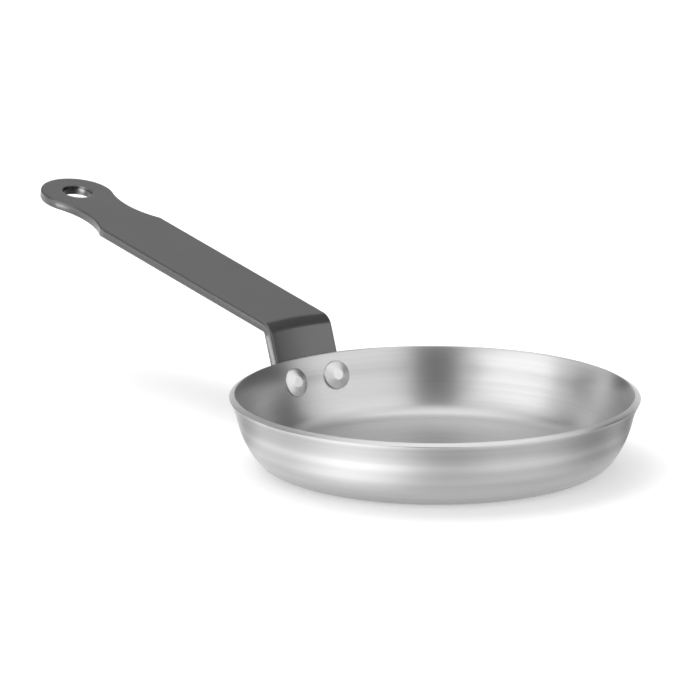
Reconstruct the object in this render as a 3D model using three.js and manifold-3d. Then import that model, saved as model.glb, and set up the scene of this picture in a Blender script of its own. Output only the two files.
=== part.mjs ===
// A small round steel pan with a flared lip and a flat strip handle held by two rivets.
// Millimetres, +Z up. The origin is the centre of the base's underside, and the handle runs along +X.

import * as THREE from 'three';
import { mergeVertices } from 'three/addons/utils/BufferGeometryUtils.js';
import Module from 'manifold-3d';

const wasm = await Module();
wasm.setup();

const degrees = THREE.MathUtils.degToRad;

// Pan body: sheet metal, sized on its outer surface. Leans are measured from the vertical.
const rimRadius = 60;
const panHeight = 21.2;
const sheet = 2;
const cornerRadius = 8.75;
const wallRadius = 31.5;
const wallLean = degrees(13);
const flareHeight = 5.5;
const lipLean = degrees(31);
const panSides = 96;
const arcSteps = 3;

// Handle: a flat strip with a tab curved to the pan, a bend, a rising arm, a waist and an eye.
const stripWidth = 23;
const stripThickness = 2.8;
const neckLean = degrees(19);
const neckRise = 9.9;
const bendInsideRadius = 2;
const armRise = degrees(10.5);
const eyeDistance = 109.4;
const eyeRadius = 11.25;
const hangingHoleRadius = 4.45;
const waistHalfWidth = 8.3;
const waistRadius = 26;
const tabBelowRivets = 7;
const tabCornerRadius = 3;
const stripStepsAcross = 14;
const bendSteps = 8;
const outlineSteps = 16;

// Rivets: a flat-topped conical head inside the pan and a low domed head outside.
const rivetFromEdge = 3.5;
const rivetDrop = 6.5;
const shankRadius = 2;
const headRadius = 4.2;
const headHeight = 1.3;
const headEdge = 0.35;
const headFlatRadius = 1.55;
const tailRadius = 3.4;
const tailHeight = 1.3;
const rivetSides = 30;
const rivetArcSteps = 4;
const seatSteps = 60;

// Clearances between separate pieces, how far a cutting tool runs past what it cuts, and a length
// that is longer than the whole pan.
const seatGap = 0.3;
const shankClearance = 0.3;
const overrun = 5;
const cutterReach = 2 * rimRadius + panHeight + eyeDistance + eyeRadius;

const panSteel = new THREE.MeshStandardMaterial({ color: 0xc9c9c7, roughness: 0.35, metalness: 1 });
const handleCoating = new THREE.MeshStandardMaterial({ color: 0x6a6a6a, roughness: 0.5, metalness: 0.1 });
const rivetSteel = new THREE.MeshStandardMaterial({ color: 0xd6d6d4, roughness: 0.3, metalness: 1 });

// A closed three.js geometry as a solid, and a solid as a flat-shaded geometry.
function toSolid(geometry) {
  const bare = geometry.clone();
  bare.deleteAttribute('normal');
  bare.deleteAttribute('uv');
  const merged = mergeVertices(bare, 1e-4);
  const vertProperties = new Float32Array(merged.attributes.position.array);
  const triVerts = new Uint32Array(merged.index.array);
  return new wasm.Manifold(new wasm.Mesh({ numProp: 3, vertProperties, triVerts }));
}

function toGeometry(solid) {
  const mesh = solid.getMesh();
  const geometry = new THREE.BufferGeometry();
  geometry.setAttribute('position', new THREE.BufferAttribute(mesh.vertProperties, 3));
  geometry.setIndex(new THREE.BufferAttribute(mesh.triVerts, 1));
  const flat = geometry.toNonIndexed();
  flat.computeVertexNormals();
  return flat;
}

// The pan's half section, made of a flat base and three arcs that meet smoothly: the corner, the
// wall, which is steepest at the throat, and the flare, which turns outwards to the lip.
const lipHeight = panHeight - sheet * Math.sin(lipLean);
const flareRadius = flareHeight / (Math.sin(lipLean) - Math.sin(wallLean));
const throat = new THREE.Vector2(
  rimRadius - flareRadius * (Math.cos(wallLean) - Math.cos(lipLean)),
  lipHeight - flareHeight,
);
const wallCentre = new THREE.Vector2(
  throat.x - wallRadius * Math.cos(wallLean),
  throat.y + wallRadius * Math.sin(wallLean),
);
const flareCentre = new THREE.Vector2(
  throat.x + flareRadius * Math.cos(wallLean),
  throat.y - flareRadius * Math.sin(wallLean),
);
const cornerSlope = Math.acos((wallCentre.y - cornerRadius) / (wallRadius - cornerRadius));
const baseRadius = wallCentre.x + (wallRadius - cornerRadius) * Math.sin(cornerSlope);

// The section's line at a depth below the outer surface, from the axis out to the lip.
function panLine(depth, steps) {
  const line = new THREE.Path();
  line.moveTo(0, depth);
  line.lineTo(baseRadius, depth);
  line.absarc(baseRadius, cornerRadius, cornerRadius - depth, -Math.PI / 2, cornerSlope - Math.PI / 2);
  line.absarc(wallCentre.x, wallCentre.y, wallRadius - depth, cornerSlope - Math.PI / 2, -wallLean);
  line.absarc(
    flareCentre.x, flareCentre.y, flareRadius + depth, Math.PI - wallLean, Math.PI - lipLean, true,
  );
  return line.getPoints(steps);
}

const outerLine = panLine(0, arcSteps);

function makePanBody(holes) {
  const section = [...outerLine, ...panLine(sheet, arcSteps).toReversed()];
  const bowl = new THREE.LatheGeometry(section, panSides);
  bowl.rotateX(Math.PI / 2);
  return toSolid(bowl).subtract(holes);
}

// Directions in the handle's side view, with x outwards and y up: up the neck, away from the pan
// square to the neck, out along the arm, and up square to the arm.
const upNeck = new THREE.Vector2(Math.sin(neckLean), Math.cos(neckLean));
const offPan = new THREE.Vector2(Math.cos(neckLean), -Math.sin(neckLean));
const alongArm = new THREE.Vector2(Math.cos(armRise), Math.sin(armRise));
const upArm = new THREE.Vector2(-Math.sin(armRise), Math.cos(armRise));

const along = (start, ...moves) => moves.reduce(
  (point, [direction, distance]) => point.addScaledVector(direction, distance), start.clone(),
);

// The tab's front face lies a seat gap outside the furthest point of the pan's outer line.
const tabFace = Math.max(...outerLine.map((point) => point.dot(offPan))) + seatGap;
const lipEdge = outerLine.at(-1);
const tabAtLip = along(lipEdge, [offPan, tabFace - lipEdge.dot(offPan)]);
const rivetOnTab = along(tabAtLip, [upNeck, -rivetDrop]);
const tabEnd = along(rivetOnTab, [upNeck, -tabBelowRivets]);
const bendCorner = along(tabAtLip, [upNeck, (panHeight + neckRise - tabAtLip.y) / upNeck.y]);

// The strip seen from the side: tab and neck, the bend round a centre below the arm, and the arm.
function stripSideView() {
  const outsideRadius = bendInsideRadius + stripThickness;
  const turn = Math.PI / 2 - neckLean - armRise;
  const tangent = outsideRadius * Math.tan(turn / 2);
  const bendStart = along(bendCorner, [upNeck, -tangent]);
  const bendCentre = along(bendCorner, [alongArm, tangent], [upArm, -outsideRadius]);
  const neckAngle = Math.PI - neckLean;
  const armAngle = Math.PI / 2 + armRise;
  const armEnd = along(bendCorner, [alongArm, eyeDistance + eyeRadius + overrun]);
  const armEndUnder = along(armEnd, [upArm, -stripThickness]);
  const tabEndBack = along(tabEnd, [offPan, stripThickness]);
  const side = new THREE.Shape();
  side.moveTo(tabEnd.x, tabEnd.y);
  side.lineTo(bendStart.x, bendStart.y);
  side.absarc(bendCentre.x, bendCentre.y, outsideRadius, neckAngle, armAngle, true);
  side.lineTo(armEnd.x, armEnd.y);
  side.lineTo(armEndUnder.x, armEndUnder.y);
  side.absarc(bendCentre.x, bendCentre.y, bendInsideRadius, armAngle, neckAngle, false);
  side.lineTo(tabEndBack.x, tabEndBack.y);
  side.closePath();
  return side;
}

// The strip carried across its width, sliding back along the arm's own direction by the sagitta of
// the pan's round wall: the arm stays flat, and the neck and tab curve to the wall.
function makeFormedStrip() {
  const width = stripWidth + 2 * overrun;
  const options = { depth: width, steps: stripStepsAcross, bevelEnabled: false, curveSegments: bendSteps };
  const strip = new THREE.ExtrudeGeometry(stripSideView(), options);
  strip.rotateX(Math.PI / 2);
  strip.translate(0, width / 2, 0);
  const wallCurve = tabAtLip.x;
  const position = strip.attributes.position;
  for (let i = 0; i < position.count; i += 1) {
    const sagitta = wallCurve - Math.sqrt(wallCurve ** 2 - position.getY(i) ** 2);
    position.setX(i, position.getX(i) - sagitta * alongArm.x);
    position.setZ(i, position.getZ(i) - sagitta * alongArm.y);
  }
  return toSolid(strip);
}

// The handle's outline seen square to the arm: straight sides, a hollow waist whose arcs run
// smoothly into the eye, and the hanging hole. Distances run from the bend's corner.
function handleOutline() {
  const half = stripWidth / 2;
  const waistCentreAcross = waistHalfWidth + waistRadius;
  const centres = eyeRadius + waistRadius;
  const waistCentre = eyeDistance - Math.sqrt(centres ** 2 - waistCentreAcross ** 2);
  const shoulderAngle = Math.asin((waistCentreAcross - half) / waistRadius);
  const shoulder = waistCentre - waistRadius * Math.cos(shoulderAngle);
  const eyeAngle = Math.atan2(waistCentreAcross, waistCentre - eyeDistance);
  const outline = new THREE.Shape();
  outline.moveTo(-cutterReach, -half);
  outline.lineTo(shoulder, -half);
  outline.absarc(
    waistCentre, -waistCentreAcross, waistRadius, Math.PI - shoulderAngle, Math.PI - eyeAngle, true,
  );
  outline.absarc(eyeDistance, 0, eyeRadius, -eyeAngle, eyeAngle, false);
  outline.absarc(
    waistCentre, waistCentreAcross, waistRadius, eyeAngle - Math.PI, shoulderAngle - Math.PI, true,
  );
  outline.lineTo(-cutterReach, half);
  outline.closePath();
  const hole = new THREE.Path();
  hole.absarc(eyeDistance, 0, hangingHoleRadius, 0, 2 * Math.PI, false);
  outline.holes.push(hole);
  return outline;
}

function makeOutlineCutter() {
  const options = { depth: cutterReach, bevelEnabled: false, curveSegments: outlineSteps };
  const cutter = new THREE.ExtrudeGeometry(handleOutline(), options);
  cutter.translate(0, 0, overrun - cutterReach);
  cutter.rotateY(-armRise);
  cutter.translate(bendCorner.x, 0, bendCorner.y);
  return toSolid(cutter);
}

// The tab's outline seen square to the tab, with its two lower corners rounded.
function makeTabCutter() {
  const half = stripWidth / 2 + overrun;
  const inset = stripWidth / 2 - tabCornerRadius;
  const outline = new THREE.Shape();
  outline.moveTo(-half, cutterReach);
  outline.lineTo(-half, tabCornerRadius);
  outline.lineTo(-stripWidth / 2, tabCornerRadius);
  outline.absarc(-inset, tabCornerRadius, tabCornerRadius, Math.PI, 1.5 * Math.PI, false);
  outline.absarc(inset, tabCornerRadius, tabCornerRadius, 1.5 * Math.PI, 2 * Math.PI, false);
  outline.lineTo(half, tabCornerRadius);
  outline.lineTo(half, cutterReach);
  outline.closePath();
  const options = { depth: 2 * cutterReach, bevelEnabled: false, curveSegments: outlineSteps };
  const cutter = new THREE.ExtrudeGeometry(outline, options);
  cutter.translate(0, 0, -cutterReach);
  const frame = new THREE.Matrix4().makeBasis(
    new THREE.Vector3(0, 1, 0),
    new THREE.Vector3(upNeck.x, 0, upNeck.y),
    new THREE.Vector3(offPan.x, 0, offPan.y),
  );
  cutter.applyMatrix4(frame);
  cutter.translate(tabEnd.x, 0, tabEnd.y);
  return toSolid(cutter);
}

function makeHandle(holes) {
  return makeFormedStrip().intersect(makeOutlineCutter()).intersect(makeTabCutter()).subtract(holes);
}

// A rivet's own axis runs along +Y from its tail to its head, with the tab's front face at 0. Its
// head seats a gap inside the highest part of the hollow inner wall under it, and its tail a gap
// behind the tab.
const wallRoundness = rivetOnTab.x - Math.sqrt(rivetOnTab.x ** 2 - headRadius ** 2);
const wallUnderHead = panLine(sheet, seatSteps)
  .filter((point) => Math.abs(point.dot(upNeck) - rivetOnTab.dot(upNeck)) < headRadius)
  .map((point) => rivetOnTab.dot(offPan) - point.dot(offPan));
const headSeat = Math.max(...wallUnderHead) + wallRoundness + seatGap;
const tailSeat = -(stripThickness + seatGap);

function makeRivetProfile() {
  const dome = (tailRadius ** 2 + tailHeight ** 2) / (2 * tailHeight);
  const domeAngle = Math.asin(tailRadius / dome);
  const profile = new THREE.Path();
  profile.moveTo(0, tailSeat - tailHeight);
  profile.absarc(0, tailSeat - tailHeight + dome, dome, -Math.PI / 2, domeAngle - Math.PI / 2, false);
  profile.lineTo(shankRadius, tailSeat);
  profile.lineTo(shankRadius, headSeat);
  profile.lineTo(headRadius, headSeat);
  profile.lineTo(headRadius, headSeat + headEdge);
  profile.quadraticCurveTo(
    (headRadius + headFlatRadius) / 2, headSeat + headHeight, headFlatRadius, headSeat + headHeight,
  );
  profile.lineTo(0, headSeat + headHeight);
  return profile.getPoints(rivetArcSteps);
}

// Each rivet stands square to the wall, in a group turned about the pan's axis to its place.
const rivetAngle = Math.asin((stripWidth / 2 - rivetFromEdge) / rivetOnTab.x);

function placeAtRivet(object, side) {
  const place = new THREE.Group();
  place.rotation.z = side * rivetAngle;
  object.position.set(rivetOnTab.x, 0, rivetOnTab.y);
  object.quaternion.setFromUnitVectors(
    new THREE.Vector3(0, 1, 0),
    new THREE.Vector3(-offPan.x, 0, -offPan.y),
  );
  place.add(object);
  place.updateMatrixWorld(true);
  return place;
}

function makeRivetHole(side) {
  const length = 2 * (headSeat - tailSeat + overrun);
  const drill = new THREE.Mesh(new THREE.CylinderGeometry(
    shankRadius + shankClearance, shankRadius + shankClearance, length, rivetSides,
  ));
  placeAtRivet(drill, side);
  return toSolid(drill.geometry.applyMatrix4(drill.matrixWorld));
}

function makePiece(name, geometry, material) {
  const piece = new THREE.Mesh(geometry, material);
  piece.name = name;
  return piece;
}

const pan = new THREE.Group();
const rivetPlaces = { rivet_left: 1, rivet_right: -1 };
const rivetHoles = Object.values(rivetPlaces).map(makeRivetHole).reduce((both, hole) => both.add(hole));

pan.add(makePiece('pan_body', toGeometry(makePanBody(rivetHoles)), panSteel));
pan.add(makePiece('handle', toGeometry(makeHandle(rivetHoles)), handleCoating));
for (const [name, side] of Object.entries(rivetPlaces)) {
  const geometry = new THREE.LatheGeometry(makeRivetProfile(), rivetSides);
  pan.add(placeAtRivet(makePiece(name, geometry, rivetSteel), side));
}

export default pan;
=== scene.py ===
import bpy
import numpy as np
from mathutils import Matrix, Vector


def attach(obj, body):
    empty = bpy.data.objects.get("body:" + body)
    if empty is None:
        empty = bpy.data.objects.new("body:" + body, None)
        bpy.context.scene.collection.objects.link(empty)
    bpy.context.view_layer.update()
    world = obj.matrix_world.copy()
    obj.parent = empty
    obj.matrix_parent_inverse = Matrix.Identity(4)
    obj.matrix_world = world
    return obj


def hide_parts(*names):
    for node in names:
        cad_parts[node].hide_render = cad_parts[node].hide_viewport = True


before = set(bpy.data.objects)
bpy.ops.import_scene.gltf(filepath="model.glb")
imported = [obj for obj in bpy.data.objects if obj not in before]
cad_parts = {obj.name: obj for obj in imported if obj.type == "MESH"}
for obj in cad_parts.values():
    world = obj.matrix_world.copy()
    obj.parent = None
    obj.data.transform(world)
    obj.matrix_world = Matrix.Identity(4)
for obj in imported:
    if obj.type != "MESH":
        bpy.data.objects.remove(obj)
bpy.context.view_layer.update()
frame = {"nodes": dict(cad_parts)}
print("frame loaded:", ", ".join(frame["nodes"]))

mm = 0.001  # sizes are written in millimetres, angles in degrees


def linearColour(hexText):
    # sRGB hex to linear: the toe is a straight line, the rest a power of 2.4
    channels = np.array([int(hexText[i:i + 2], 16) for i in (1, 3, 5)]) / 255
    linear = np.where(channels <= 0.04045, channels / 12.92, ((channels + 0.055) / 1.055) ** 2.4)
    return (*linear.tolist(), 1.0)


def addNode(tree, kind, settings=None, inputs=None):
    # one node, with its own settings, and inputs that are plain values or other nodes' outputs
    node = tree.nodes.new(kind)
    for name, value in (settings or {}).items():
        setattr(node, name, value)
    for key, value in (inputs or {}).items():
        if isinstance(value, bpy.types.NodeSocket):
            tree.links.new(value, node.inputs[key])
        else:
            node.inputs[key].default_value = value
    return node


def newMaterial(name):
    # a material with no nodes yet, and its node tree
    material = bpy.data.materials.new(name)
    material.use_nodes = True
    material.node_tree.nodes.clear()
    return material, material.node_tree


def makeMesh(name, points, faces, material, faceUv=None, pointValues=None):
    # points in millimetres; faceUv is one pair per face corner, pointValues one number per point
    mesh = bpy.data.meshes.new(name)
    mesh.from_pydata((points * mm).tolist(), [], faces)
    mesh.polygons.foreach_set("use_smooth", np.ones(len(mesh.polygons), dtype=bool))
    if faceUv is not None:
        mesh.uv_layers.new(name="turning").data.foreach_set("uv", faceUv.astype(np.float32).ravel())
    for key, values in (pointValues or {}).items():
        mesh.attributes.new(key, "FLOAT", "POINT").data.foreach_set("value", values.astype(np.float32))
    mesh.materials.append(material)
    piece = bpy.data.objects.new(name, mesh)
    bpy.context.collection.objects.link(piece)
    return piece


def standFor(piece, node):
    # the pan is one rigid body, so each piece rides on its root in place of a node of the frame
    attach(piece, "root")
    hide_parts(node)


def lathe(profile, around):
    # a profile of (radius, height) pairs from axis to axis turned about +Z: point (i, j) is profile
    # point i at angle 2 pi j / around, and each end on the axis is a single point
    angle = 2 * np.pi * np.arange(around) / around
    middle = profile[1:-1]
    rings = np.stack([
        middle[:, :1] * np.cos(angle), middle[:, :1] * np.sin(angle), np.repeat(middle[:, 1:], around, 1),
    ], axis=2).reshape(-1, 3)
    points = np.vstack([rings, [[0, 0, profile[0, 1]], [0, 0, profile[-1, 1]]]])
    column = np.arange(around)
    nextColumn = (column + 1) % around
    row = np.arange(len(middle) - 1)[:, None] * around
    quads = np.stack([row + column, row + nextColumn, row + around + nextColumn, row + around + column], 2)
    first, last = len(rings), len(rings) + 1
    lastRow = (len(middle) - 1) * around
    startFan = np.stack([np.full(around, first), nextColumn, column], 1)
    endFan = np.stack([np.full(around, last), lastRow + column, lastRow + nextColumn], 1)
    faces = quads.reshape(-1, 4).tolist() + startFan.tolist() + endFan.tolist()
    # the map runs along the profile in u, by its length in metres, and round the axis in v
    length = np.concatenate([[0], np.cumsum(np.hypot(*np.diff(profile, axis=0).T))]) * mm
    near, far = length[1:-2, None], length[2:-1, None]
    left, right = column / around, (column + 1) / around
    between = (left + right) / 2
    quadUv = np.stack(np.broadcast_arrays(near, left, near, right, far, right, far, left), 2)
    startUv = np.stack(np.broadcast_arrays(0, between, length[1], right, length[1], left), 1)
    endUv = np.stack(np.broadcast_arrays(length[-1], between, length[-2], left, length[-2], right), 1)
    faceUv = np.concatenate([quadUv.ravel(), startUv.ravel(), endUv.ravel()])
    return points, faces, faceUv


# Camera: a long lens, 13.7 degrees above the rim, on the side away from the handle. Its turn is the
# view's angle from +Y round to +X, and the view's middle is left of the rim's middle and above it.
camera = {"turn": 129.0, "down": 13.733, "roll": 0.134, "distance": 2400, "left": 24.705, "above": 12.447,
          "lens": 424.7, "sensor": 36, "reach": 50000, "aimHeight": 21.2}

turn, down, roll = np.radians([camera["turn"], camera["down"], camera["roll"]])
skyward = np.array([0, 0, 1])
rightward = np.array([np.cos(turn), -np.sin(turn), 0])
towardPan = np.array([np.sin(turn), np.cos(turn), 0])
forward = np.cos(down) * towardPan - np.sin(down) * skyward
upward = np.sin(down) * towardPan + np.cos(down) * skyward
eyePoint = (camera["aimHeight"] * skyward - camera["left"] * rightward + camera["above"] * upward
            - camera["distance"] * forward)
cameraData = bpy.data.cameras.new("camera")
cameraData.lens = camera["lens"]
cameraData.sensor_width = camera["sensor"]
cameraData.clip_end = camera["reach"] * mm
cameraObject = bpy.data.objects.new("camera", cameraData)
bpy.context.collection.objects.link(cameraObject)
rolledRight = np.cos(roll) * rightward + np.sin(roll) * upward
rolledUp = np.cos(roll) * upward - np.sin(roll) * rightward
axes = Matrix(np.stack([rolledRight, rolledUp, -forward], 1).tolist())
cameraObject.matrix_world = Matrix.Translation(eyePoint * mm) @ axes.to_4x4()
bpy.context.scene.camera = cameraObject
bpy.context.scene.view_settings.view_transform = "Standard"
print("camera placed")


# Pan: bright steel sheet, spun to shape and turned with fine abrasive, so its marks run round it.
pan = {"rimRadius": 60, "height": 21.2, "sheet": 2, "cornerRadius": 8.75, "wallRadius": 31.5,
       "wallLean": 13, "flareHeight": 5.5, "lipLean": 31, "lipRound": 0.26,
       "around": 288, "basePoints": 18, "cornerPoints": 15, "wallPoints": 41, "flarePoints": 16,
       "lipPoints": 6, "linePoints": 4000,
       "ridgeSpacing": 4.7, "ridgeHeight": 0.007, "ridgeBelowThroat": 1.5,
       "steel": "#CACACA", "steelDark": "#A6A6A6", "toneSpread": 0.17,
       # the ridge, flare, foot and centre shares of the darker steel are painted light and shade: lighter
       # crests, a darker flare, and inside a bright foot and a darker middle
       "ridgeLightAndShade": 0.15, "flareShade": 0.8, "flareShadeFrom": 1, "flareShadeFade": 1.5,
       "insideDull": 0.2, "footShade": 0.0, "centreShade": 0.35, "centreReach": 20,
       "outerRoughness": 0.33, "innerRoughness": 0.32, "footRoughness": 0.42, "centreRoughness": 0.31,
       "roughnessSpread": 0.03, "anisotropy": 0.5,
       "ringSpacing": 0.8, "ringDepth": 0.0004, "ringDetail": 4.0, "ringGrit": 0.6,
       "bandSpacing": 5, "bandTurnShare": 0.4, "bandDetail": 2.0, "bandShare": 0.55,
       "noiseLow": 0.3, "noiseHigh": 0.7}

wallLean, lipLean = np.radians([pan["wallLean"], pan["lipLean"]])
lipHeight = pan["height"] - pan["sheet"] * np.sin(lipLean)
flareRadius = pan["flareHeight"] / (np.sin(lipLean) - np.sin(wallLean))
throat = np.array([pan["rimRadius"] - flareRadius * (np.cos(wallLean) - np.cos(lipLean)),
                   lipHeight - pan["flareHeight"]])
wallCentre = throat + pan["wallRadius"] * np.array([-np.cos(wallLean), np.sin(wallLean)])
flareCentre = throat + flareRadius * np.array([np.cos(wallLean), -np.sin(wallLean)])
cornerSlope = np.arccos((wallCentre[1] - pan["cornerRadius"]) / (pan["wallRadius"] - pan["cornerRadius"]))
baseRadius = wallCentre[0] + (pan["wallRadius"] - pan["cornerRadius"]) * np.sin(cornerSlope)
cornerEnd = baseRadius + pan["cornerRadius"] * cornerSlope
wallEnd = cornerEnd + pan["wallRadius"] * (np.pi / 2 - cornerSlope - wallLean)
lipEnd = wallEnd + flareRadius * (lipLean - wallLean)


def panSection(length, depth):
    # (radius, height) at a length along the outer line and a depth square to it: a flat base, then
    # three arcs that meet smoothly, of which the first two turn inwards and the flare turns outwards
    length, depth = np.broadcast_arrays(np.asarray(length, float), np.asarray(depth, float))
    parts = [length <= baseRadius, length <= cornerEnd, length <= wallEnd]
    angle = np.select(parts, [
        np.full_like(length, -np.pi / 2),
        -np.pi / 2 + (length - baseRadius) / pan["cornerRadius"],
        cornerSlope - np.pi / 2 + (length - cornerEnd) / pan["wallRadius"],
    ], np.pi - wallLean - (length - wallEnd) / flareRadius)
    reach = np.select(parts, [pan["cornerRadius"] - depth, pan["cornerRadius"] - depth,
                              pan["wallRadius"] - depth], flareRadius + depth)
    middleR = np.select(parts, [length, np.full_like(length, baseRadius),
                                np.full_like(length, wallCentre[0])], flareCentre[0])
    middleZ = np.select(parts, [np.full_like(length, pan["cornerRadius"]),
                                np.full_like(length, pan["cornerRadius"]),
                                np.full_like(length, wallCentre[1])], flareCentre[1])
    return np.stack([middleR + reach * np.cos(angle), middleZ + reach * np.sin(angle)], -1)


def makePan(material):
    # the section's path in (length, depth): out along the underside and the outer wall, round the
    # lip's two softened edges, and back along the inside to the axis
    edge, sheet, ridge = pan["lipRound"], pan["sheet"], pan["ridgeSpacing"]
    run = np.concatenate([
        np.linspace(0, baseRadius, pan["basePoints"]),
        np.linspace(baseRadius, cornerEnd, pan["cornerPoints"])[1:],
        np.linspace(cornerEnd, wallEnd, pan["wallPoints"])[1:],
        np.linspace(wallEnd, lipEnd - edge, pan["flarePoints"])[1:],
    ])
    # spinning leaves low ridges round the outer wall: a cosine of the length, which swells up from the
    # corner and dies away in the flare
    swell = np.interp(run, [cornerEnd, cornerEnd + ridge, wallEnd, wallEnd + ridge / 2], [0, 1, 1, 0])
    crests = swell * np.cos(2 * np.pi * (run - wallEnd + pan["ridgeBelowThroat"]) / ridge)
    waves = -pan["ridgeHeight"] * crests
    quarter = np.linspace(0, np.pi / 2, pan["lipPoints"])[1:]
    lengths = np.concatenate([run, lipEnd - edge + edge * np.sin(quarter),
                              lipEnd - edge + edge * np.cos(quarter[:-1]), run[::-1]])
    depths = np.concatenate([waves, edge - edge * np.cos(quarter),
                             sheet - edge + edge * np.sin(quarter[:-1]), np.full_like(run, sheet)])
    profile = panSection(lengths, depths)
    profile[[0, -1], 0] = 0
    points, faces, faceUv = lathe(profile, pan["around"])
    # the turning marks are coarsest at the foot of the corner, and finer up the wall and in to the middle;
    # inside, painted highlight makes that foot brightest and painted shade darkens it towards the middle
    stations = [baseRadius - pan["centreReach"], baseRadius, cornerEnd]
    inside = np.interp(lengths, stations, [
        pan["centreRoughness"], pan["footRoughness"], pan["innerRoughness"]])
    beneath = np.interp(lengths, stations[:2], [pan["centreRoughness"], pan["outerRoughness"]])
    abraded = np.where(depths > sheet / 2, inside, beneath)
    toneAndShade = np.interp(lengths, stations, [pan["centreShade"], pan["footShade"], pan["insideDull"]])
    # outside, painted highlight lightens the crests and painted shade darkens the hollows, and painted
    # shade darkens the flare most away from its two ends
    shadeFrom, shadeFade = pan["flareShadeFrom"], pan["flareShadeFade"]
    flareStations = [wallEnd - shadeFrom, wallEnd + shadeFade, lipEnd - shadeFade, lipEnd - edge]
    flare = np.interp(run, flareStations, [0, 1, 1, 0])
    outside = pan["insideDull"] - pan["ridgeLightAndShade"] * crests
    toneAndShade[:len(run)] = outside + flare * (pan["flareShade"] - outside)
    values = {key: np.concatenate([np.repeat(line[1:-1], pan["around"]), line[[0, -1]]])
              for key, line in {"abraded": abraded, "toneAndShade": toneAndShade}.items()}
    return makeMesh("pan", points, faces, material, faceUv, values)


def spunSteel(name, look):
    # Turned steel: rings finer than the eye resolves stretch every highlight across them, so the
    # wall shows upright bands; rings are drawn about 0.8 mm apart, coarser than the real ones.
    material, tree = newMaterial(name)
    place = addNode(tree, "ShaderNodeTexCoord")
    uv = addNode(tree, "ShaderNodeUVMap", {"uv_map": "turning"})
    uvParts = addNode(tree, "ShaderNodeSeparateXYZ", inputs={0: uv.outputs["UV"]})
    # rings: the direction from the axis, plus upwards the length along the section over the spacing
    flat = addNode(tree, "ShaderNodeVectorMath", {"operation": "MULTIPLY"}, {
        0: place.outputs["Object"], 1: (1, 1, 0)})
    compass = addNode(tree, "ShaderNodeVectorMath", {"operation": "NORMALIZE"}, {0: flat.outputs[0]})
    ringCount = addNode(tree, "ShaderNodeMath", {"operation": "DIVIDE"}, {
        0: uvParts.outputs["X"], 1: look["ringSpacing"] * mm})
    ringHeight = addNode(tree, "ShaderNodeCombineXYZ", inputs={"Z": ringCount.outputs[0]})
    ringPlace = addNode(tree, "ShaderNodeVectorMath", {"operation": "ADD"}, {
        0: compass.outputs[0], 1: ringHeight.outputs[0]})
    rings = addNode(tree, "ShaderNodeTexNoise", inputs={
        "Vector": ringPlace.outputs[0], "Scale": 1.0, "Detail": look["ringDetail"],
        "Roughness": look["ringGrit"]})
    # broad bands a few millimetres wide: where the abrasive dwelt the steel is a little duller
    turnShare, bandShrink = look["bandTurnShare"], look["ringSpacing"] / look["bandSpacing"]
    bandPlace = addNode(tree, "ShaderNodeVectorMath", {"operation": "MULTIPLY"}, {
        0: ringPlace.outputs[0], 1: (turnShare, turnShare, bandShrink)})
    bands = addNode(tree, "ShaderNodeTexNoise", inputs={
        "Vector": bandPlace.outputs[0], "Scale": 1.0, "Detail": look["bandDetail"]})
    wear = addNode(tree, "ShaderNodeMix", {"data_type": "FLOAT"}, {
        0: look["bandShare"], 2: rings.outputs[0], 3: bands.outputs[0]})
    spread = addNode(tree, "ShaderNodeMapRange", inputs={
        "Value": wear.outputs[0], "From Min": look["noiseLow"], "From Max": look["noiseHigh"],
        "To Min": look["toneSpread"], "To Max": -look["toneSpread"]})
    # the share of the darker steel: the steel's own tone, with painted light and shade on the ridges, the
    # flare and the inside
    toneAndShade = addNode(tree, "ShaderNodeAttribute", {"attribute_name": "toneAndShade"})
    shade = addNode(tree, "ShaderNodeMath", {"operation": "ADD"}, {
        0: toneAndShade.outputs["Fac"], 1: spread.outputs[0]})
    tone = addNode(tree, "ShaderNodeMix", {"data_type": "RGBA"}, {
        0: shade.outputs[0], 6: linearColour(look["steel"]), 7: linearColour(look["steelDark"])})
    abraded = addNode(tree, "ShaderNodeAttribute", {"attribute_name": "abraded"})
    uneven = addNode(tree, "ShaderNodeMapRange", inputs={
        "Value": wear.outputs[0], "From Min": look["noiseLow"], "From Max": look["noiseHigh"],
        "To Min": look["roughnessSpread"], "To Max": -look["roughnessSpread"]})
    gloss = addNode(tree, "ShaderNodeMath", {"operation": "ADD"}, {
        0: abraded.outputs["Fac"], 1: uneven.outputs[0]})
    bump = addNode(tree, "ShaderNodeBump", inputs={
        "Height": rings.outputs[0], "Strength": 1.0, "Distance": look["ringDepth"] * mm})
    grain = addNode(tree, "ShaderNodeTangent", {"direction_type": "UV_MAP", "uv_map": "turning"})
    steel = addNode(tree, "ShaderNodeBsdfPrincipled", inputs={
        "Base Color": tone.outputs[2], "Metallic": 1.0, "Roughness": gloss.outputs[0],
        "Anisotropic": look["anisotropy"], "Normal": bump.outputs[0], "Tangent": grain.outputs[0]})
    addNode(tree, "ShaderNodeOutputMaterial", inputs={"Surface": steel.outputs[0]})
    return material


panPiece = makePan(spunSteel("spun and turned bright steel", pan))
standFor(panPiece, "pan_body")
print("pan made:", len(panPiece.data.polygons), "faces")


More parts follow.
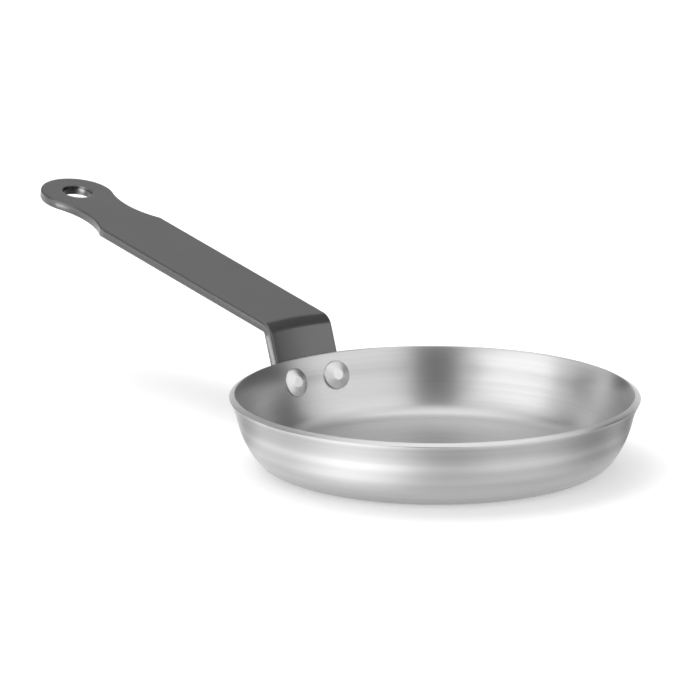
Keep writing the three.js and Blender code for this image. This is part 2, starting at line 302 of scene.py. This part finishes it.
# Handle: one strip of steel, blanked, formed and given a baked dark grey coating.
handle = {"width": 23, "thickness": 2.8, "neckLean": 19, "neckRise": 9.9, "bendInside": 2, "armRise": 10.5,
          "eyeDistance": 109.4, "eyeRadius": 11.25, "holeRadius": 4.45, "waistHalf": 8.3, "waistRadius": 26,
          "rivetDrop": 6.5, "tabBelowRivets": 7, "tabCorner": 3, "seatGap": 0.3, "edgeRound": 0.5,
          "columns": 26, "sideShare": 0.985, "tabPoints": 9, "neckPoints": 16, "bendPoints": 25,
          "bendMargin": 1, "armPoints": 30, "waistPoints": 26, "waistCut": 98, "hollowPoints": 9,
          "eyePoints": 81, "eyeRings": 7, "edgeSteps": 4,
          # the coat's colours for the edge, its corners, the hole and the patch there are painted light and
          # shade: a highlight on the cut edges, a dark line along their corners, shade in the hole and a
          # highlight in it
          "coat": "#646464", "coatThin": "#6C6C6C", "edgeSheen": "#6E6E6E", "edgeLineShade": "#606060",
          "boreShade": "#2C2C2C", "boreDarkFrom": -25, "boreDarkFade": 10,
          "boreHighlight": "#909090", "highlightSide": -55, "highlightSpread": 15,
          "metallic": 0.85, "roughness": 0.24, "roughnessSpread": 0.015,
          "peelSize": 0.5, "peelDetail": 2.0, "peelLow": 0.25, "peelHigh": 0.75, "peelDepth": 0.02,
          "peelStrength": 0.5, "cloudSize": 14, "cloudDetail": 4.0}

neckLean, armRise = np.radians([handle["neckLean"], handle["armRise"]])
upNeck = np.array([np.sin(neckLean), np.cos(neckLean)])
offPan = np.array([np.cos(neckLean), -np.sin(neckLean)])
alongArm = np.array([np.cos(armRise), np.sin(armRise)])
upArm = np.array([-np.sin(armRise), np.cos(armRise)])
outerLine = panSection(np.linspace(0, lipEnd, pan["linePoints"]), 0)
tabFace = (outerLine @ offPan).max() + handle["seatGap"]
tabAtLip = outerLine[-1] + (tabFace - outerLine[-1] @ offPan) * offPan
rivetOnTab = tabAtLip - handle["rivetDrop"] * upNeck
tabEnd = rivetOnTab - handle["tabBelowRivets"] * upNeck
bendCorner = tabAtLip + (pan["height"] + handle["neckRise"] - tabAtLip[1]) / upNeck[1] * upNeck
bendOutside = handle["bendInside"] + handle["thickness"]
bendTurn = np.pi / 2 - neckLean - armRise
bendTangent = bendOutside * np.tan(bendTurn / 2)
bendStart = bendCorner - bendTangent * upNeck
bendCentre = bendCorner + bendTangent * alongArm - bendOutside * upArm
neckRun = bendTangent - bendOutside * bendTurn
tabRun = neckRun - (bendStart - tabEnd) @ upNeck
half = handle["width"] / 2
waistAcross = handle["waistHalf"] + handle["waistRadius"]
eyeToWaist = handle["eyeRadius"] + handle["waistRadius"]
waistCentre = handle["eyeDistance"] - np.sqrt(eyeToWaist ** 2 - waistAcross ** 2)


def handlePoint(run, across, depth):
    # run is the distance along the strip from the bend's corner, across is from its middle line and
    # depth is below its upper face. The side line is the neck, an arc and the arm. Each point slides
    # back along the arm by the sagitta of the pan's round wall, so the neck and tab curve to the wall;
    # the run is lengthened by the same share, so the outline stays straight across.
    sagitta = tabAtLip[0] - np.sqrt(tabAtLip[0] ** 2 - across ** 2)
    ease = np.clip((run - tabRun) / (2 * bendTangent - tabRun), 0, 1)
    ease = ease ** 2 * (3 - 2 * ease)
    tabShare = alongArm @ upNeck
    length = run + (tabShare + (1 - tabShare) * ease) * sagitta
    turned = np.pi / 2 + armRise + np.clip((bendTangent - length) / bendOutside, 0, bendTurn)
    outwards = np.stack([np.cos(turned), np.sin(turned)], -1)
    onSide = bendCentre + bendOutside * outwards
    onSide = onSide + np.clip(length - bendTangent, 0, None)[..., None] * alongArm
    onSide = onSide - np.clip(neckRun - length, 0, None)[..., None] * upNeck
    onSide = onSide - sagitta[..., None] * alongArm
    # the thickness lies square to the curved neck, and straight down under the arm
    swung = np.arcsin(across / tabAtLip[0]) * np.clip(-outwards[..., 0], 0, None)
    across = across - depth * outwards[..., 0] * np.sin(swung)
    onSide = onSide - depth[..., None] * outwards * np.stack([np.cos(swung), np.ones_like(swung)], -1)
    return np.stack([onSide[..., 0], across, onSide[..., 1]], -1)


def flatHalfWidth(run):
    # half the width of the flat face, inside its rounded edges: the straight sides, less the tab's
    # rounded corners, or the hollow arc of the waist where that is narrower
    edge = handle["edgeRound"]
    corner = handle["tabCorner"] - edge
    short = np.clip(corner - (run - tabRun - edge), 0, corner)
    cut = corner - np.sqrt(corner ** 2 - short ** 2)
    hollow = np.clip((handle["waistRadius"] + edge) ** 2 - (run - waistCentre) ** 2, 0, None)
    return np.minimum(half - edge - cut, waistAcross - np.sqrt(hollow))


def outwardNormals(loop):
    # the mean of the two edge normals at each point of a closed loop, stretched so that a step along
    # it moves both edges by the same distance
    edges = np.roll(loop, -1, 0) - loop
    normals = np.stack([edges[:, 1], -edges[:, 0]], 1) / np.linalg.norm(edges, axis=1)[:, None]
    mean = normals + np.roll(normals, 1, 0)
    return 2 * mean / (mean ** 2).sum(1)[:, None]


def stripFace():
    # the flat face in (run, across): a grid of runs by shares of the half width as far as the waist,
    # and rings about the hanging hole from there on, with its outer loop and the hole's
    edge, margin = handle["edgeRound"], handle["bendMargin"]
    corner = handle["tabCorner"] - edge
    straightFrom = tabRun + edge + corner
    shoulder = waistCentre - np.sqrt((handle["waistRadius"] + edge) ** 2 - (waistAcross - half + edge) ** 2)
    rows = np.concatenate([
        straightFrom - corner * np.cos(np.linspace(0, np.pi / 2, handle["tabPoints"])),
        np.linspace(straightFrom, neckRun - margin, handle["neckPoints"])[1:],
        np.linspace(neckRun - margin, bendTangent + margin, handle["bendPoints"])[1:],
        np.linspace(bendTangent + margin, shoulder, handle["armPoints"])[1:],
        np.linspace(shoulder, handle["waistCut"], handle["waistPoints"])[1:],
    ])
    inner = np.linspace(-1, 1, handle["columns"] - 1)[1:-1]
    shares = np.concatenate([[-1, -handle["sideShare"]], inner, [handle["sideShare"], 1]])
    strip = np.stack([np.repeat(rows[:, None], len(shares), 1), flatHalfWidth(rows)[:, None] * shares], 2)
    rowCount, columnCount = strip.shape[:2]
    stripId = np.arange(rowCount * columnCount).reshape(rowCount, columnCount)
    # the eye's outer line from the waist round to the waist again, against the clock
    eyeIn = handle["eyeRadius"] - edge
    eyeAngle = np.arctan2(waistAcross, waistCentre - handle["eyeDistance"])
    touch = handle["eyeDistance"] + eyeIn * np.cos(eyeAngle)
    hollow = np.linspace(handle["waistCut"], touch, handle["hollowPoints"])[1:-1]
    sweep = np.linspace(-eyeAngle, eyeAngle, handle["eyePoints"])
    rim = np.concatenate([
        np.stack([hollow, -flatHalfWidth(hollow)], 1),
        np.stack([handle["eyeDistance"] + eyeIn * np.cos(sweep), eyeIn * np.sin(sweep)], 1),
        np.stack([hollow[::-1], flatHalfWidth(hollow[::-1])], 1),
    ])
    rimId = stripId.size + np.arange(len(rim))
    eyeLoop = np.concatenate([strip[-1, :1], rim, strip[-1, :0:-1]])
    eyeLoopId = np.concatenate([stripId[-1, :1], rimId, stripId[-1, :0:-1]])
    centre = np.array([handle["eyeDistance"], 0])
    spokes = (eyeLoop - centre) / np.linalg.norm(eyeLoop - centre, axis=1)[:, None]
    holeLine = centre + (handle["holeRadius"] + edge) * spokes
    inwards = (np.arange(1, handle["eyeRings"] + 1) / handle["eyeRings"])[:, None, None]
    web = eyeLoop + inwards * (holeLine - eyeLoop)
    webId = stripId.size + len(rim) + np.arange(web[..., 0].size).reshape(web.shape[:2])
    face = np.concatenate([strip.reshape(-1, 2), rim, web.reshape(-1, 2)])
    rings = np.concatenate([eyeLoopId[None], webId])
    nextRings = np.roll(rings, -1, 1)
    gridQuads = np.stack([stripId[:-1, :-1], stripId[1:, :-1], stripId[1:, 1:], stripId[:-1, 1:]], 2)
    ringQuads = np.stack([rings[:-1], nextRings[:-1], nextRings[1:], rings[1:]], 2)
    quads = np.concatenate([gridQuads.reshape(-1, 4), ringQuads.reshape(-1, 4)])
    outerLoop = np.concatenate([stripId[:, 0], rimId, stripId[::-1, -1], stripId[0, -2:0:-1]])
    return face, quads, outerLoop, webId[-1, ::-1]


def makeHandle(material):
    # an upper and a lower flat face, and the two loops carried round the edge between them: out by the
    # sine and down by one less the cosine of a quarter turn, and the same from below, with a straight
    # wall between
    face, quads, outerLoop, holeLoop = stripFace()
    edge, thick, count = handle["edgeRound"], handle["thickness"], len(face)
    quarter = np.linspace(0, np.pi / 2, handle["edgeSteps"] + 1)[1:]
    out = np.concatenate([np.sin(quarter), np.sin(quarter)[::-1]]) * edge
    drop = np.concatenate([edge - edge * np.cos(quarter), (thick - edge + edge * np.cos(quarter))[::-1]])
    flat = [face, face]
    depth = [np.zeros(count), np.full(count, thick)]
    faces = [quads, quads[:, ::-1] + count]
    used = 2 * count
    for loop in (outerLoop, holeLoop):
        ring = face[loop] + out[:, None, None] * outwardNormals(face[loop])
        ringId = used + np.arange(ring[..., 0].size).reshape(ring.shape[:2])
        used += ringId.size
        flat.append(ring.reshape(-1, 2))
        depth.append(np.repeat(drop, len(loop)))
        ladder = np.concatenate([loop[None], ringId, loop[None] + count])
        nextLadder = np.roll(ladder, -1, 1)
        faces.append(np.stack([ladder[:-1], ladder[1:], nextLadder[1:], nextLadder[:-1]], 2).reshape(-1, 4))
    flat, depth = np.concatenate(flat), np.concatenate(depth)
    # painted highlight makes the coat lightest on the outer edge, and a line of painted shade runs along
    # its
    # rounded corners: the sine of twice the angle turned round them, which is none on the flat face and on
    # the edge's wall
    serial = np.arange(len(flat))
    inBore = serial >= len(flat) - holeLoop.size * len(out)
    onEdge = (serial >= 2 * count) & ~inBore
    edgeLineShare = np.zeros(len(flat))
    edgeLineShare[onEdge] = np.repeat(np.sin(2 * np.concatenate([quarter, quarter[::-1]])), outerLoop.size)
    # in the hanging hole, painted shade darkens it from just short of a painted highlight, round the far
    # side to the arm; the highlight is a bell curve of the angle about the hole
    angle = np.degrees(np.arctan2(flat[:, 1], flat[:, 0] - handle["eyeDistance"])) - handle["highlightSide"]
    values = {
        "onEdge": onEdge.astype(float),
        "edgeLineShare": edgeLineShare,
        "inBore": inBore * np.clip((angle - handle["boreDarkFrom"]) / handle["boreDarkFade"], 0, 1),
        "boreHighlightShare": inBore * np.exp(-(angle / handle["highlightSpread"]) ** 2),
    }
    points = handlePoint(flat[:, 0], flat[:, 1], depth)
    return makeMesh("handle_strip", points, np.concatenate(faces).tolist(), material, pointValues=values)


def bakedCoating(name, look):
    # Baked metal-flake enamel on blanked steel: a dark satin film that shines like a dim metal, with a
    # faint orange peel and soft clouds. Painted highlight makes it a little lighter on the cut edges,
    # painted shade makes it darker in a line along their corners and dark in the hanging hole, and a
    # painted highlight lights a patch in the hole. The real peel is about 0.2 mm across; it is drawn
    # coarser so that it shows.
    material, tree = newMaterial(name)
    place = addNode(tree, "ShaderNodeTexCoord")
    peel = addNode(tree, "ShaderNodeTexNoise", inputs={
        "Vector": place.outputs["Object"], "Scale": 1 / (look["peelSize"] * mm),
        "Detail": look["peelDetail"]})
    clouds = addNode(tree, "ShaderNodeTexNoise", inputs={
        "Vector": place.outputs["Object"], "Scale": 1 / (look["cloudSize"] * mm),
        "Detail": look["cloudDetail"]})
    colour = addNode(tree, "ShaderNodeMix", {"data_type": "RGBA"}, {
        0: clouds.outputs[0], 6: linearColour(look["coat"]), 7: linearColour(look["coatThin"])})
    # painted light and shade on the coat: a lighter edge, a dark line along its corners, shade in the hole
    # and a highlight in it
    patches = {"onEdge": "edgeSheen", "edgeLineShare": "edgeLineShade", "inBore": "boreShade", "boreHighlightShare": "boreHighlight"}
    for attribute, patch in patches.items():
        share = addNode(tree, "ShaderNodeAttribute", {"attribute_name": attribute})
        colour = addNode(tree, "ShaderNodeMix", {"data_type": "RGBA"}, {
            0: share.outputs["Fac"], 6: colour.outputs[2], 7: linearColour(look[patch])})
    gloss = addNode(tree, "ShaderNodeMapRange", inputs={
        "Value": peel.outputs[0], "From Min": look["peelLow"], "From Max": look["peelHigh"],
        "To Min": look["roughness"] - look["roughnessSpread"],
        "To Max": look["roughness"] + look["roughnessSpread"]})
    bump = addNode(tree, "ShaderNodeBump", inputs={
        "Height": peel.outputs[0], "Strength": look["peelStrength"], "Distance": look["peelDepth"] * mm})
    coat = addNode(tree, "ShaderNodeBsdfPrincipled", inputs={
        "Base Color": colour.outputs[2], "Metallic": look["metallic"], "Roughness": gloss.outputs[0],
        "Normal": bump.outputs[0]})
    addNode(tree, "ShaderNodeOutputMaterial", inputs={"Surface": coat.outputs[0]})
    return material


handlePiece = makeHandle(bakedCoating("baked dark grey coating on steel", handle))
standFor(handlePiece, "handle")
print("handle made:", len(handlePiece.data.polygons), "faces")


# Rivets: solid steel, a coned head with a flat centre inside the pan and a low dome outside.
rivet = {"sides": {"rivet_left": 1, "rivet_right": -1}, "flatTilts": {"rivet_left": 7, "rivet_right": 1},
         "fromEdge": 3.5, "shank": 2, "headRadius": 4.2, "headHeight": 1.3, "headEdge": 0.35,
         "flatRadius": 1.55, "coneArc": 30, "tailRadius": 3.4, "tailHeight": 1.3, "sunk": 0.35,
         "around": 72, "domePoints": 12, "conePoints": 12, "crownPoints": 6,
         "steel": "#E2E2E2", "steelDark": "#CACACA", "roughness": 0.34, "roughnessSpread": 0.05,
         "scuffSize": 1.2, "scuffDetail": 4.0, "scuffGrit": 0.6, "scuffDepth": 0.008, "scuffStrength": 0.4,
         "noiseLow": 0.3, "noiseHigh": 0.7}


def makeRivet(name, side, flatTilt, material):
    # a profile of (radius, height) about the rivet's own axis, turned, then laid along the direction
    # out of the wall into the pan and swung about the pan's axis to its side
    tabBack = -handle["thickness"]
    inner = panSection(np.linspace(0, lipEnd, pan["linePoints"]), pan["sheet"])
    under = np.abs((inner - rivetOnTab) @ upNeck) < rivet["headRadius"]
    wallRise = ((rivetOnTab - inner[under]) @ offPan).max()
    # the tail is part of a ball, and the head's cone swells a little by part of a sine
    dome = (rivet["tailRadius"] ** 2 + rivet["tailHeight"] ** 2) / (2 * rivet["tailHeight"])
    swing = np.linspace(0, np.arcsin(rivet["tailRadius"] / dome), rivet["domePoints"])
    tail = np.stack([dome * np.sin(swing), tabBack - rivet["tailHeight"] + dome - dome * np.cos(swing)], 1)
    coneArc = np.radians(rivet["coneArc"])
    rise = np.linspace(0, 1, rivet["conePoints"])
    swollen = np.sin(rise * coneArc) / np.sin(coneArc)
    cone = np.stack([
        rivet["headRadius"] + rise * (rivet["flatRadius"] - rivet["headRadius"]),
        wallRise + rivet["headEdge"] + swollen * (rivet["headHeight"] - rivet["headEdge"]),
    ], 1)
    inwards = np.linspace(rivet["flatRadius"], 0, rivet["crownPoints"])[1:]
    crown = np.stack([inwards, np.full_like(inwards, wallRise + rivet["headHeight"])], 1)
    headBack = wallRise - rivet["sunk"]
    stem = [[rivet["shank"], tabBack], [rivet["shank"], headBack], [rivet["headRadius"], headBack]]
    points, faces, faceUv = lathe(np.concatenate([tail, stem, cone, crown]), rivet["around"])
    # the set struck the flat a little off square, so its height falls with the distance aside
    # and the cone takes up the rest, from all of it at the flat to none at the head's edge
    fromAxis = np.hypot(points[:, 0], points[:, 1])
    share = np.interp(fromAxis, [rivet["flatRadius"], rivet["headRadius"]], [1, 0])
    share[points[:, 2] < wallRise] = 0
    points[:, 2] -= share * points[:, 0] * np.tan(np.radians(flatTilt))
    swung = side * np.arcsin((half - rivet["fromEdge"]) / rivetOnTab[0])
    inward = np.array([-offPan[0] * np.cos(swung), -offPan[0] * np.sin(swung), -offPan[1]])
    sideways = np.array([-np.sin(swung), np.cos(swung), 0])
    place = np.array([rivetOnTab[0] * np.cos(swung), rivetOnTab[0] * np.sin(swung), rivetOnTab[1]])
    points = place + points @ np.stack([sideways, np.cross(inward, sideways), inward])
    return makeMesh(name, points, faces, material, faceUv)


def formedSteel(name, look):
    # Cold-headed steel: bright and smooth from the rivet set, with faint scuffs.
    material, tree = newMaterial(name)
    place = addNode(tree, "ShaderNodeTexCoord")
    scuffs = addNode(tree, "ShaderNodeTexNoise", inputs={
        "Vector": place.outputs["Object"], "Scale": 1 / (look["scuffSize"] * mm),
        "Detail": look["scuffDetail"], "Roughness": look["scuffGrit"]})
    tone = addNode(tree, "ShaderNodeMix", {"data_type": "RGBA"}, {
        0: scuffs.outputs[0], 6: linearColour(look["steelDark"]), 7: linearColour(look["steel"])})
    gloss = addNode(tree, "ShaderNodeMapRange", inputs={
        "Value": scuffs.outputs[0], "From Min": look["noiseLow"], "From Max": look["noiseHigh"],
        "To Min": look["roughness"] - look["roughnessSpread"],
        "To Max": look["roughness"] + look["roughnessSpread"]})
    bump = addNode(tree, "ShaderNodeBump", inputs={
        "Height": scuffs.outputs[0], "Strength": look["scuffStrength"],
        "Distance": look["scuffDepth"] * mm})
    steel = addNode(tree, "ShaderNodeBsdfPrincipled", inputs={
        "Base Color": tone.outputs[2], "Metallic": 1.0, "Roughness": gloss.outputs[0],
        "Normal": bump.outputs[0]})
    addNode(tree, "ShaderNodeOutputMaterial", inputs={"Surface": steel.outputs[0]})
    return material


rivetMaterial = formedSteel("cold headed bright steel", rivet)
for name, side in rivet["sides"].items():
    rivetPiece = makeRivet(name + "_head", side, rivet["flatTilts"][name], rivetMaterial)
    standFor(rivetPiece, name)
print("rivets made:", ", ".join(rivet["sides"]))


# Studio: a white paper floor in a white room, and four softboxes. Bright metal shows its surroundings,
# so it sees the softboxes' faces and a set of cards that nothing else sees: dark and grey ones behind,
# beside and round the camera, one close over the handle's bend, and light and shaded ones on the floor.
# A place is (aside, high, distance): the angle from the camera's side, to the right when positive, the
# angle above the floor and the distance from the pan. The floor lies a hair under the base, so that
# the two faces don't coincide.
studio = {"floorRadius": 4000, "floorPoints": 9, "floor": "#EDEDED", "floorGlow": 0.34, "floorDrop": 0.05,
          "room": "#FFFFFF", "roomForDiffuse": 0.56, "faceBehind": 30,
          "cardColumns": 25, "cardRows": 37, "coverEdge": 1 / 12,
          # each softbox's place, width, height, watts and the brightness of its face
          "softboxes": {
              "key": (-55, 24, 1100, 980, 780, 1.6, 1.9),
              "fill": (53, 34, 1200, 1300, 1450, 0.8, 1.27),
              "top": (-165, 68, 1500, 1600, 1450, 8.4, 1.5),
              "left": (-125, 60, 1300, 900, 1200, 3.5, 1.5)},
          # each card's first and last place, and its brightness
          "cards": {
              "camera": ((-15.5, -2, 1000), (12.5, 36, 1000), 0.14),
              "cameraTop": ((-20, 36, 1000), (17, 62, 1000), 0.14),
              "rightBack": ((97, -2, 1500), (148, 26, 1500), 0.13),
              "rightMid": ((105, 26, 1500), (148, 42, 1500), 0.13),
              "bend": ((190, 32, 90), (221, 41, 63), 0.25),
              "rightEdge": ((84, -2, 1450), (97, 20, 1450), 0.75),
              "leftBack": ((-153, -2, 1500), (-130, 19, 1500), 0.08),
              "leftMid": ((-162, 19, 1500), (-130, 40, 1500), 0.5),
              "back": ((150, 18, 1500), (198, 45, 1500), 0.55),
              "leftSide": ((-130, -2, 1200), (-91, 70, 1200), 1.03),
              "leftLow": ((-114, -2, 1100), (-93, 15, 1100), 0.3),
              "leftHigh": ((-127, 36, 1150), (-109, 54, 1150), 0.1),
              "leftRear": ((-154, 37, 1140), (-130, 57, 1140), 0.4)},
          "floorCards": {
              "bounce": ((-64, 1.1, 55), (2, 0.1, 150), 1.85),
              "leftBounce": ((-108, 0.6, 120), (-84, 0.2, 260), 6.0),
              "eyeBounce": ((-109, 0.2, 225), (-95, 0.1, 275), 10.0),
              "armShade": ((-132, 0.2, 120), (-100, 0.05, 320), 0.9),
              "frontShade": ((-14, 1.1, 56), (26, 0.1, 150), 0.81),
              "rightShade": ((36, 1.1, 56), (104, 0.1, 150), 0.5),
              "rimShade": ((76, 1.1, 56), (130, 0.1, 150), 0.35),
              "leftShade": ((-124, 1.1, 56), (-76, 0.1, 115), 0.6)}}


def studioPoint(aside, high, distance):
    # a place in the studio as a point: round from the camera's side by one angle, up by the other
    aside, high = np.radians(aside), np.radians(high)
    flat = -np.cos(aside)[..., None] * towardPan + np.sin(aside)[..., None] * rightward
    return distance * (np.cos(high)[..., None] * flat + np.sin(high)[..., None] * skyward)


def gridFaces(rows, columns):
    # the quads of a grid of points, row by row
    index = np.arange(rows * columns).reshape(rows, columns)
    quads = np.stack([index[:-1, :-1], index[:-1, 1:], index[1:, 1:], index[1:, :-1]], 2)
    return quads.reshape(-1, 4).tolist()


def seenStraight(tree):
    # 1 for what the camera sees, straight, in metal or through glass, and 0 for light on matte things
    path = addNode(tree, "ShaderNodeLightPath")
    seen = addNode(tree, "ShaderNodeMath", {"operation": "MAXIMUM"}, {
        0: path.outputs["Is Camera Ray"], 1: path.outputs["Is Glossy Ray"]})
    seen = addNode(tree, "ShaderNodeMath", {"operation": "MAXIMUM"}, {
        0: seen.outputs[0], 1: path.outputs["Is Transmission Ray"]})
    return seen.outputs[0]


def whitePaper(name, look):
    # Matte paper that takes the pan's shadow, with a glow that lifts it to white where the camera sees
    # it, straight or in metal.
    material, tree = newMaterial(name)
    level = addNode(tree, "ShaderNodeMath", {"operation": "MULTIPLY"}, {
        0: seenStraight(tree), 1: look["floorGlow"]})
    matte = addNode(tree, "ShaderNodeBsdfDiffuse", inputs={"Color": linearColour(look["floor"])})
    light = addNode(tree, "ShaderNodeEmission", inputs={"Strength": level.outputs[0]})
    both = addNode(tree, "ShaderNodeAddShader", inputs={0: matte.outputs[0], 1: light.outputs[0]})
    addNode(tree, "ShaderNodeOutputMaterial", inputs={"Surface": both.outputs[0]})
    return material


def glowingCard(name, glow):
    # An even glow; where the card's cover fades to nothing, what is behind shows through it.
    material, tree = newMaterial(name)
    cover = addNode(tree, "ShaderNodeAttribute", {"attribute_name": "cover"})
    clear = addNode(tree, "ShaderNodeBsdfTransparent")
    light = addNode(tree, "ShaderNodeEmission", inputs={"Strength": glow})
    both = addNode(tree, "ShaderNodeMixShader", inputs={
        0: cover.outputs["Fac"], 1: clear.outputs[0], 2: light.outputs[0]})
    addNode(tree, "ShaderNodeOutputMaterial", inputs={"Surface": both.outputs[0]})
    return material


def hangCard(name, points, rows, columns, cover, glow):
    # a card that only metal sees
    card = makeMesh(name, points, gridFaces(rows, columns), glowingCard(name, glow),
                    pointValues={"cover": cover})
    card.visible_camera = False
    card.visible_shadow = False
    card.visible_diffuse = False


floorReach = np.linspace(-studio["floorRadius"], studio["floorRadius"], studio["floorPoints"])
floorX, floorY = np.meshgrid(floorReach, floorReach)
floorPoints = np.stack([floorX, floorY, np.full_like(floorX, -studio["floorDrop"])], 2).reshape(-1, 3)
floorFaces = gridFaces(studio["floorPoints"], studio["floorPoints"])
floor = makeMesh("floor", floorPoints, floorFaces, whitePaper("white paper", studio))

for name, (aside, high, distance, wide, tall, watts, glow) in studio["softboxes"].items():
    lamp = bpy.data.lights.new(name, "AREA")
    lamp.shape = "RECTANGLE"
    lamp.size = wide * mm
    lamp.size_y = tall * mm
    lamp.energy = watts
    lampObject = bpy.data.objects.new(name, lamp)
    bpy.context.collection.objects.link(lampObject)
    spot = Vector(studioPoint(np.array(aside), np.array(high), distance)) * mm
    turnTo = (-spot).to_track_quat("-Z", "Y").to_matrix()
    lampObject.matrix_world = Matrix.Translation(spot) @ turnTo.to_4x4()
    lampObject.visible_camera = False
    lampObject.visible_glossy = False
    # metal sees the softbox's face, a board of the lamp's own size just behind it, in place of the lamp
    wideSide, tallSide = np.meshgrid([-wide / 2, wide / 2], [-tall / 2, tall / 2])
    board = np.stack([wideSide, tallSide, np.full_like(wideSide, studio["faceBehind"])], 2).reshape(-1, 3)
    board = board @ np.array(turnTo).T + np.array(spot) / mm
    hangCard("face_" + name, board, *wideSide.shape, np.ones(wideSide.size), glow)

across, up = np.meshgrid(
    np.linspace(0, 1, studio["cardColumns"]), np.linspace(0, 1, studio["cardRows"]))
for name, (start, end, glow) in {**studio["cards"], **studio["floorCards"]}.items():
    # a card spans from its first place to its last, its distance changing with its height angle; the
    # cover of a card on the floor swells from its sides by the square of a sine, and by a quarter of
    # a sine's wave from its near edge
    asides, highs, distances = (
        start[i] + share * (end[i] - start[i]) for i, share in enumerate((across, up, up)))
    cardPoints = studioPoint(asides, highs, distances[..., None]).reshape(-1, 3)
    cover = np.ones(across.size)
    if name in studio["floorCards"]:
        fromEdge = np.clip(up / studio["coverEdge"], 0, 1)
        cover = (np.sin(np.pi * across) ** 2 * np.sin(np.pi / 2 * fromEdge)).ravel()
    hangCard("card_" + name, cardPoints, *across.shape, cover, glow)

# the room is white where the camera sees it, straight, in metal or through glass, and dimmer as light
world = bpy.data.worlds.new("studio")
bpy.context.scene.world = world
world.use_nodes = True
worldTree = world.node_tree
worldTree.nodes.clear()
roomLevel = addNode(worldTree, "ShaderNodeMapRange", inputs={
    "Value": seenStraight(worldTree), "To Min": studio["roomForDiffuse"], "To Max": 1.0})
room = addNode(worldTree, "ShaderNodeBackground", inputs={
    "Color": linearColour(studio["room"]), "Strength": roomLevel.outputs[0]})
addNode(worldTree, "ShaderNodeOutputWorld", inputs={"Surface": room.outputs[0]})
print("studio made:", ", ".join(studio["softboxes"]))
